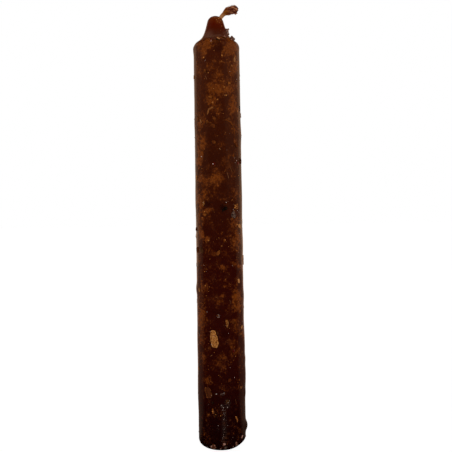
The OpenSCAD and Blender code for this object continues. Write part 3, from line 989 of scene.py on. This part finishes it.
# %% The two models
bpy.ops.mesh.primitive_ico_sphere_add(subdivisions=2, radius=0.5)
crumb_model = bpy.context.object
roughen(crumb_model, "crumb_roughness", 0.45, 0.4)
bpy.ops.mesh.primitive_cylinder_add(vertices=6, radius=0.5, depth=1)
fibre_model = bpy.context.object
for cut in (0.18, -0.18):
    edit_all(fibre_model)
    bpy.ops.mesh.bisect(plane_co=(0, 0, cut), plane_no=(0, 0, 1))
bpy.ops.object.mode_set(mode="OBJECT")
modify(fibre_model, "SIMPLE_DEFORM", deform_method="BEND", deform_axis="X", angle=0.9)
print("crumb of", len(crumb_model.data.polygons), "faces, fibre of", len(fibre_model.data.polygons))


# %% Set copies on the skin
strew = random.Random(17)


def set_on_skin(model, place, normal, sizes, turn, sink):
    """A copy of a model on the skin, of these sizes across, along and out in mm, turned and sunk."""
    select(model)
    bpy.ops.object.duplicate()
    copy = bpy.context.object
    upright = normal.to_track_quat("Y", "Z").to_matrix().to_4x4()
    stretch = Matrix.Diagonal((sizes[0] * MM, sizes[2] * MM, sizes[1] * MM, 1))
    spot = Matrix.Translation(place - normal * sink * MM)
    copy.matrix_world = spot @ upright @ Matrix.Rotation(turn, 4, "Y") @ stretch
    return copy


def beside(side, height):
    """The skin's point and normal at a side angle in degrees and a height in millimetres."""
    outwards = Vector((math.sin(math.radians(side)), -math.cos(math.radians(side)), 0))
    start = outwards * 20 * MM + Vector((0, 0, height * MM))
    hit, place, normal, face = wax.ray_cast(start, -outwards)
    return place, normal


def joined(copies, name, finish, slot, seed):
    """Joins copies into one piece with a random tone for each, paints it and settles it."""
    select(*copies)
    bpy.ops.object.join()
    piece = bpy.context.object
    bpy.ops.object.transform_apply(location=True, rotation=True, scale=True)
    tone_parts(piece, seed)
    settle(piece, name, finish, slot)


def crumb_at(place, normal, size):
    """A crumb about this many millimetres wide, a little longer or shorter and a little sunk."""
    longer = strew.uniform(0.75, 1.35)
    sizes = (size, size * longer, size * 0.8)
    return set_on_skin(crumb_model, place, normal, sizes, strew.uniform(0, math.tau), size * 0.12)


def placed(places, share=1):
    """Crumbs at these pixels of the photograph, at this share of the widths that are noted with them."""
    return [crumb_at(*under_pixel(laid, x, y), width * share) for x, y, width in places]


def strewn(count, sides, heights, widths):
    """Crumbs at random places between these sides and heights, in degrees and millimetres."""
    return [crumb_at(*beside(strew.uniform(*sides), strew.uniform(*heights)), strew.uniform(*widths))
            for _ in range(count)]


# %% [markdown]
# The white crystals are the brightest things on the candle, though most are under half a millimetre. Some
# of them stand for painted highlights: bright dots on the wax, and the row along the glint down the middle
# of the foot. They lie thickest beside the flakes at the middle and along the bloom at the foot.

# %% Crystals, some of them painted highlights
# Pixel of the photograph and width in millimetres
crystal_and_highlight_places = [
    (219.8, 149, 0.3), (226.9, 150, 0.3), (229.8, 133.5, 0.3), (213, 163.8, 0.5), (234.5, 158, 0.4),
    (236.5, 160.7, 0.55), (235.2, 162.6, 0.35), (232.4, 265.6, 0.4), (228.4, 333.4, 0.4),
    (230.4, 367.6, 0.32), (234.5, 377.6, 0.32), (199.5, 335, 0.35), (216.3, 394, 0.45),
    (211.5, 395.5, 0.35), (221, 394.6, 0.45), (222.4, 393.6, 0.4), (224, 393.2, 0.45), (208.5, 404.4, 0.4),
    (227.6, 407.2, 0.45), (221.4, 405.4, 0.5), (222.6, 406.6, 0.5), (223.4, 407.6, 0.4), (226, 400.4, 0.4),
    (228.2, 402.6, 0.25), (229.4, 400.8, 0.25), (207, 312, 0.7), (201.5, 156.6, 0.6), (226.3, 202.4, 0.5),
    (228, 201.6, 0.4), (218.6, 315, 0.4), (217, 316.4, 0.4), (218.9, 317, 0.35), (204.2, 265.4, 0.3),
    (206, 271.2, 0.25), (198.6, 149.6, 0.3), (238.6, 252.4, 0.35), (239.2, 233.6, 0.35),
    (203.4, 202.3, 0.35), (224.8, 432.4, 0.3), (223.8, 419.6, 0.3), (233.4, 209.4, 0.35),
    (234.4, 217.4, 0.3), (217.8, 314.2, 0.35), (219.4, 315.8, 0.4), (217.6, 317.6, 0.4),
    (237.6, 210.6, 0.35), (238.8, 212, 0.35), (240, 213, 0.35), (233.5, 204.2, 0.35), (234.6, 211.6, 0.35),
    (210.4, 331.6, 0.35), (211.6, 344.4, 0.45), (213, 345.2, 0.3), (213.8, 336, 0.3), (225.8, 325.6, 0.3),
    (218.2, 425.8, 0.28), (227.6, 425.6, 0.28), (223.6, 434.4, 0.3), (221.8, 441.2, 0.3),
    (232.8, 437.6, 0.5), (231.6, 439.2, 0.3), (205.2, 60.4, 0.3), (229.8, 71.6, 0.3), (236.8, 79.4, 0.3),
    (234.4, 88.6, 0.25)]
crystals_and_highlights = placed(crystal_and_highlight_places, 0.75)
for _ in range(70):
    size = strew.uniform(0.15, 0.35)
    crystals_and_highlights.append(crumb_at(*beside(strew.uniform(*BACK), strew.uniform(4, 186)), size))
# Tiny white crumbs along the glint down the middle of the foot, painted highlights
for _ in range(24):
    crystals_and_highlights.append(crumb_at(*under_pixel(laid, strew.gauss(224.4, 1.3), strew.uniform(409, 445)), 0.16))


def grain_finish(name, dark, light, dullness):
    """Plain crumbs that differ in tone."""
    mix_up = Finish(name)
    tone = mix_up.mark("tone")
    colour = mix_up.mix(tone, dark, light)
    return mix_up.shader(Base_Color=colour, Specular_IOR_Level=DRY, Roughness=dullness)


# White crumbs, partly crystals and partly painted highlights
crystal_and_highlight_finish = grain_finish("crystal_and_highlight", paint(104, 74, 60), paint(236, 218, 206), 0.4)
joined(crystals_and_highlights, "crystals_and_highlights", crystal_and_highlight_finish, None, 41)

# %% Crumbs of herb
# Pixel of the photograph and width in millimetres, for the pink lumps of the base and the collar and
# for the golden crumbs
pink_places = [
    (224.5, 444.3, 1.2), (223.4, 445.4, 0.7), (236.3, 443, 1), (236.6, 444.8, 0.9), (242.4, 436.2, 0.9),
    (241.8, 437.8, 0.7), (211.4, 446.4, 0.6), (212.6, 445.8, 0.6), (214.6, 445.6, 0.65), (216, 446.6, 0.7),
    (215.6, 448, 0.6), (214, 448.6, 0.6), (212.2, 448.4, 0.65), (211.2, 447.4, 0.55), (220.8, 449, 0.7),
    (233.4, 446.4, 0.5), (225.4, 36.7, 1.1), (224.4, 36.2, 0.8), (231.6, 39.5, 0.6), (211.4, 39.7, 0.6),
    (211, 40.9, 0.55), (231.7, 36.8, 0.6)]
golden_places = [
    (212.7, 409.8, 0.9), (212.6, 411.4, 0.9), (212.9, 413, 0.7), (235.2, 205.4, 0.9), (236.3, 206.4, 0.9),
    (235, 207.6, 0.8), (236.2, 208.4, 0.7), (208.6, 414.8, 0.4), (212.8, 41.4, 0.4), (236.5, 418, 0.9),
    (237.1, 419.6, 0.9), (236, 416.8, 0.6), (237.6, 421, 0.6), (220.6, 415.8, 0.5), (215.6, 414.6, 0.4),
    (202.2, 303.4, 0.5), (224.2, 87, 0.5), (226.4, 95.4, 0.7), (221.6, 61.2, 0.5), (206.8, 120.6, 0.7),
    (212.6, 102.4, 0.8), (217.4, 99.6, 0.7), (225.2, 240, 0.6), (208.4, 240.4, 0.7), (236.6, 250.6, 0.6),
    (204.6, 271.6, 0.5), (225.4, 279.4, 0.5), (224.4, 287, 0.5), (239.6, 271.8, 0.4), (203.6, 57.4, 0.6),
    (222, 55.2, 0.6), (213, 61, 0.4), (218.4, 18.4, 0.5), (220.4, 20.6, 0.55), (221.4, 23.4, 0.45),
    (216.6, 19.6, 0.4), (219.4, 22.6, 0.35), (221.8, 26, 0.35), (215, 17.8, 0.4), (220.4, 30.3, 0.4),
    (217.4, 21, 0.3), (219.2, 18, 0.4), (235.6, 206, 0.7), (232.4, 199.8, 0.6), (236.8, 204.4, 0.5),
    (204.6, 211.6, 0.6), (206.8, 211.8, 0.5), (237, 224.6, 0.6), (205.4, 285.6, 0.6), (204, 288, 0.5)]
pinks = placed(pink_places) + strewn(9, BACK, (1.5, 6), (0.5, 1.1))
pale_finish = grain_finish("pale_crumb", paint(96, 60, 46), paint(184, 140, 124), 0.6)
joined(pinks, "pale_crumbs", pale_finish, "bark", 42)
goldens = placed(golden_places)
goldens += strewn(170, (-80, 80), (30, 186), (0.15, 0.4)) + strewn(60, BACK, (4, 186), (0.3, 0.8))
golden_finish = grain_finish("golden_crumb", paint(110, 56, 16), paint(186, 122, 58), 0.5)
joined(goldens, "golden_crumbs", golden_finish, "amber_herb", 43)

# %% Fibres
# Both ends of each fibre in pixels of the photograph
fibre_places = [
    ((227.3, 160), (231.4, 170.4)), ((226.8, 171.4), (228.9, 178.6)), ((219, 148), (220.8, 149.6)),
    ((223.5, 341.8), (229, 339.6)), ((216, 333.6), (220, 331.6)), ((225.2, 341.4), (228.6, 343)),
    ((231.6, 163.4), (234.4, 172)), ((202.4, 207.4), (208.2, 209)), ((200.6, 58.6), (202.6, 62)),
    ((205, 75.4), (207, 79.6)), ((237.4, 60.4), (237.8, 66)), ((199.4, 248.6), (200.4, 254)),
    ((229.6, 299.4), (231, 304.4)), ((214, 296.4), (217.6, 298)), ((208.6, 357.4), (212, 355.2)),
    ((235.4, 399), (236.4, 404.6)), ((241, 407), (241.8, 413.6))]
fibres_laid = []
for first, last in fibre_places:
    (start, normal), (end, last_normal) = under_pixel(laid, *first), under_pixel(laid, *last)
    place, along = (start + end) / 2, end - start
    level = normal.to_track_quat("Y", "Z").to_matrix().inverted() @ along
    turn = math.atan2(level.x, level.z)
    sizes = (strew.uniform(0.14, 0.22), along.length / MM, strew.uniform(0.16, 0.22))
    fibres_laid.append(set_on_skin(fibre_model, place, normal, sizes, turn, 0.04))
for _ in range(46):
    place, normal = beside(strew.uniform(*BACK), strew.uniform(6, 184))
    sizes = (0.18, strew.uniform(1, 4), 0.18)
    fibres_laid.append(set_on_skin(fibre_model, place, normal, sizes, strew.uniform(0, math.pi), 0.0))
fibre_finish = grain_finish("herb_fibre", paint(84, 44, 18), paint(150, 104, 66), 0.6)
joined(fibres_laid, "herb_fibres", fibre_finish, "stem", 44)
select(crumb_model, fibre_model)
bpy.ops.object.delete()

# %% [markdown]
# ## The wick
#
# The wick is a cotton cord of four plies, each of six yarns. It bends over as it leaves the crown, and
# its cut end has opened into a waxed tassel. One yarn is modelled: a ring extruded into a tube. Copies of
# it are then laid along the cord's lay, and fused by a fine net of cells, as the wax has fused them.

# %% The wick's route
# In millimetres: how thick the cord and its tassel are, how far out the cord leaves the crown, and its
# length from there. It leans a little at first and hangs at the end.
WICK_R = 0.95
TASSEL_R = 2.1
wick_out = 2.2
first_lean, last_lean = math.radians(34), math.radians(102)
free_length = 9.4
lay_radius = free_length / (last_lean - first_lean)
exit_up = WAX_H - CROWN_H * (1 - math.sqrt(1 - (wick_out / CROWN_R) ** 2))
lay_middle = Vector((
    wick_out + lay_radius * math.cos(first_lean), 0, exit_up - lay_radius * math.sin(first_lean)))
# Share of the free length, and how far the cord has opened there towards the tassel's radius
opening = [
    (-0.2, 0), (0.05, 0), (0.2, 0.1), (0.36, 0.6), (0.5, 0.92), (0.7, 1.05), (0.9, 0.98), (1.05, 0.6)]


def wick_at(share):
    """The cord's middle and the two directions across it, at a share of its free length."""
    lean = first_lean + (last_lean - first_lean) * share
    middle = lay_middle + lay_radius * Vector((-math.cos(lean), 0, math.sin(lean)))
    return middle, Vector((math.cos(lean), 0, -math.sin(lean))), Vector((0, 1, 0))


def cord_radius(share):
    return WICK_R + (TASSEL_R - WICK_R) * float(np.interp(share, *zip(*opening)))


# %% One yarn, ready to be laid
YARN_RINGS = 46
bpy.ops.mesh.primitive_circle_add(vertices=8, radius=1, fill_type="NGON")
yarn_model = bpy.context.object
edit_all(yarn_model)
for _ in range(YARN_RINGS):
    bpy.ops.mesh.extrude_region_move(TRANSFORM_OT_translate={"value": (0, 0, 1 / YARN_RINGS)})
bpy.ops.mesh.select_all(action="SELECT")
bpy.ops.mesh.normals_make_consistent(inside=False)
bpy.ops.object.mode_set(mode="OBJECT")


def lay_yarn(start, end, offset, radius):
    """A copy of the yarn along the wick: offset and radius are functions of the share of its length."""
    select(yarn_model)
    bpy.ops.object.duplicate()
    yarn = bpy.context.object
    moved = []
    for x, y, z in points_of(yarn_model):
        share = start + (end - start) * z
        middle, across, sideways = wick_at(share)
        off_a, off_b = offset(share)
        thick = radius(share)
        moved.append((middle + across * (off_a + thick * x) + sideways * (off_b + thick * y)) * MM)
    move_points(yarn, moved)
    return yarn


# %% Lay up the cord
TWIST = math.radians(230)
# The share of the free length at which the yarns begin, inside the crown
YARN_START = -0.14
yarn_chance = random.Random(5)


def ply_yarn(ply, strand):
    """One of the six yarns of a ply, wound round it while it winds round the cord."""
    wander, end = yarn_chance.uniform(0, 6), yarn_chance.uniform(0.88, 1.0)
    splay, curl = yarn_chance.uniform(-0.25, 0.4), yarn_chance.uniform(-0.8, 0.8)

    def offset(share):
        outer = cord_radius(share)
        frayed = max(0, share - 0.5) * 2
        ply_turn = math.tau * ply / 4 + TWIST * share
        own_turn = math.tau * strand / 6 - 2.4 * TWIST * min(share, 0.6) + curl * frayed
        own_r = outer * (0.29 + 0.1 * frayed * splay) + 0.12 * frayed * math.sin(9 * share + wander)
        ply_r = outer * (0.48 + 0.12 * splay * frayed)
        return (ply_r * math.cos(ply_turn) + own_r * math.cos(own_turn),
                ply_r * math.sin(ply_turn) + own_r * math.sin(own_turn))

    def radius(share):
        tip = 1 - 0.6 * max(0, (share - end + 0.05) / 0.05) ** 2
        return min(0.21 * cord_radius(share), 0.36) * max(tip, 0.3)

    return lay_yarn(YARN_START, end, offset, radius)


def core_radius(share):
    """The core fills the hollow between the plies and ends a little before them."""
    return 0.66 * cord_radius(share) * min(1, (1 - share) * 6)


yarns = [ply_yarn(ply, strand) for ply in range(4) for strand in range(6)]
core = lay_yarn(YARN_START, 0.92, lambda share: (0, 0), core_radius)
select(core, *yarns)
bpy.ops.object.join()
wick = bpy.context.object
fuse(wick, 0.075, 0.5, 2)
print("cord of", len(yarns), "yarns fused into", len(wick.data.polygons), "faces")

# %% [markdown]
# ### Loose fibres and the wick's finish
#
# A few fibres stand off the cord. The finish needs to know how far along the cord a point lies and how
# deep between the yarns, because the hollows are full of dark wax and the ridges are dry and pale.


# %% Marks on the wick
def mark_wick(piece):
    """Marks how far along the cord each point lies and how deep between the yarns."""
    points = points_of(piece) / MM
    across = lay_middle.x - points[:, 0]
    lifted = points[:, 2] - lay_middle.z
    along = (np.arctan2(lifted, across) - first_lean) / (last_lean - first_lean)
    off = np.hypot(np.hypot(across, lifted) - lay_radius, points[:, 1])
    outer = np.array([cord_radius(share) for share in along])
    mark(piece, "along", along)
    mark(piece, "depth", np.clip(off / outer, 0, 1.2))
    return along


def stray_fibre():
    """A thin fibre that leaves the cord and curls away from it."""
    start, length = yarn_chance.uniform(0.1, 0.68), yarn_chance.uniform(0.1, 0.24)
    turn, away = yarn_chance.uniform(0, math.tau), yarn_chance.uniform(0.1, 0.45)
    bend = yarn_chance.uniform(-5, 5)

    def offset(share):
        gone = (share - start) / length
        r = cord_radius(share) * 0.92 + away * gone ** 2
        return r * math.cos(turn + bend * (share - start)), r * math.sin(turn + bend * (share - start))

    return lay_yarn(start, start + length, offset, lambda share: 0.05 - 0.025 * (share - start) / length)


strays = [stray_fibre() for _ in range(18)]
select(*strays)
bpy.ops.object.join()
fibres = bpy.context.object
frayed = smooth_step(mark_wick(wick), 0.28, 0.5)[:, None]
cord = points_of(wick)
move_points(wick, cord + shifts_at(cord, 0.65, (31, 32, 33), 0.42) * frayed)
mark_wick(fibres)
select(yarn_model)
bpy.ops.object.delete()


# %% Paint the wick
def wick_finish():
    cotton = Finish("waxed_cotton")
    along, depth = cotton.mark("along"), cotton.mark("depth")
    grain = cotton.noise(0.35, 3)
    stem = cotton.mix(cotton.step(along + grain * 0.2, 0.1, 0.4), paint(168, 120, 78), paint(124, 68, 18))
    tassel = cotton.mix(cotton.step(grain, 0.4, 0.62), paint(106, 50, 16), paint(178, 124, 88))
    base = cotton.mix(cotton.step(along, 0.38, 0.58), stem, tassel)
    clot = cotton.noise(0.9, 3, 0.6) - 0.5
    end_face = cotton.step(along, 0.84, 0.98) * 0.3
    hollow = (1 - cotton.step(depth + clot * 0.9 + end_face, 0.7, 0.95)) * cotton.step(along, 0.2, 0.45)
    base = cotton.mix(hollow * 0.9, base, paint(74, 16, 5))
    return cotton.shader(
        Base_Color=base,
        Specular_IOR_Level=DRY,
        Roughness=0.5 + grain * 0.2,
        Normal=cotton.bump(grain, 0.4, 0.1))


cotton_finish = wick_finish()
settle(wick, "wick_cord", cotton_finish, "wick", "wick")
settle(fibres, "wick_fibres", cotton_finish, "wick")

# %% [markdown]
# ## Light and background
#
# The photograph is a dark candle on pure white. Broad soft boxes at its sides and behind it lay a warm
# sheen over the wax, a little stronger on the right, and only two dim ones stand towards the front, so
# the middle stays a pure dark maroon. The room and the floor are white only to the camera and to soft
# light. Mirrored as brightly in the wax, they would wash its colour out, so the wax mirrors no room, and
# a floor that is dim behind the candle, brightest straight behind it, and black in front of it. To the
# camera the floor glows almost white by itself, and its own tone only adds the last bit and the shadow.


# %% Lamps
candle_middle = Vector((0, 0, 0.1))
lamp_colour = (1, 0.64, 0.4)


def soft_box(name, side, height, width, tall, glow, distance=0.8):
    """A soft box at an angle round the candle from the camera, whose face has this brightness."""
    angle = math.radians(side)
    place = Vector((math.sin(angle), -math.cos(angle), 0)) * distance + Vector((0, 0, height))
    bpy.ops.object.light_add(type="AREA", location=place)
    lamp = bpy.context.object
    lamp.name = name
    lamp.data.shape = "RECTANGLE"
    lamp.data.size, lamp.data.size_y = width, tall
    lamp.data.energy = glow * math.pi * width * tall
    lamp.data.color = lamp_colour
    lamp.visible_camera = False
    aim = candle_middle - place
    lamp.rotation_euler = aim.to_track_quat("-Z", "Y").to_euler()


# Side in degrees, height above the floor, width and height of the face in metres, and brightness
soft_box("front_right", 62, 0.5, 0.8, 0.8, 0.18)
soft_box("front_left", -70, 0.5, 0.7, 0.8, 0.12)
soft_box("side_right", 110, 0.2, 0.62, 0.9, 0.26)
soft_box("side_left", -110, 0.2, 0.62, 0.9, 0.2)
soft_box("back_right", 152, 0.2, 0.8, 0.9, 0.5)
soft_box("back_left", -152, 0.2, 0.8, 0.9, 0.46)
soft_box("box_top", 180, 0.9, 0.5, 0.4, 0.3, distance=0.2)


# %% The white room
def light_for(tree, seen, mirrored, cast):
    """A strength that differs for the camera, for mirrored rays and for all other light."""
    ways = tree.nodes.new("ShaderNodeLightPath")

    def between(first, second, way):
        blend = tree.nodes.new("ShaderNodeMix")
        for socket, value in ((blend.inputs[2], first), (blend.inputs[3], second)):
            if isinstance(value, float):
                socket.default_value = value
            else:
                tree.links.new(value, socket)
        tree.links.new(ways.outputs[way], blend.inputs[0])
        return blend.outputs[0]

    return between(between(cast, mirrored, "Is Glossy Ray"), seen, "Is Camera Ray")


world = bpy.data.worlds.new("white_room")
world.use_nodes = True
bpy.context.scene.world = world
room = world.node_tree.nodes["Background"]
room.inputs["Color"].default_value = (1, 1, 1, 1)
world.node_tree.links.new(light_for(world.node_tree, 1.0, 0.0, 1.0), room.inputs["Strength"])
world.cycles_visibility.glossy = False

# %% The floor
bpy.ops.mesh.primitive_plane_add(size=6)
floor = bpy.context.object
floor.name = "floor"
floor_finish = Finish("pale_floor")


def floor_light(seen, mirrored, cast):
    """Such a strength as a value, for the floor's sums."""
    return Value(floor_finish, light_for(floor_finish.tree, seen, mirrored, cast))


behind, aside = floor_finish.place("Y"), floor_finish.place("X")
straight_behind = floor_finish.step(behind - aside.larger(0 - aside) * 1.2, 0, 0.05)
mirrored_tone = floor_finish.step(behind, -0.004, 0.01) * 0.16 + straight_behind * 0.3
floor_tone = floor_light(0.05, mirrored_tone.socket, 0.8)
floor_green = floor_tone * floor_light(1.0, 0.6, 1.0)
floor_blue = floor_tone * floor_light(1.0, 0.42, 1.0)
tones = {"Red": floor_tone, "Green": floor_green, "Blue": floor_blue}
floor_colour = floor_finish.node("ShaderNodeCombineColor", inputs=tones)
diffuse = floor_finish.node("ShaderNodeBsdfDiffuse", inputs={"Color": floor_colour})
glow_strength = floor_light(0.97, 0.0, 0.0)
glow = floor_finish.node("ShaderNodeEmission", inputs={"Strength": glow_strength})
both = floor_finish.node("ShaderNodeAddShader", inputs={0: diffuse, 1: glow})
floor_finish.node("ShaderNodeOutputMaterial", inputs={"Surface": both})
floor.data.materials.append(floor_finish.material)
floor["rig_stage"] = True

# %% The picture's tones
bpy.context.scene.view_settings.view_transform = "Standard"

# %% Compare the sizes and finish
dressed_box = [list(corner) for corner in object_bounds()]
grown = [[round((b - a) / MM, 2) for a, b in zip(*pair)] for pair in zip(solids_box, dressed_box)]
print("grown by, mm:", grown)
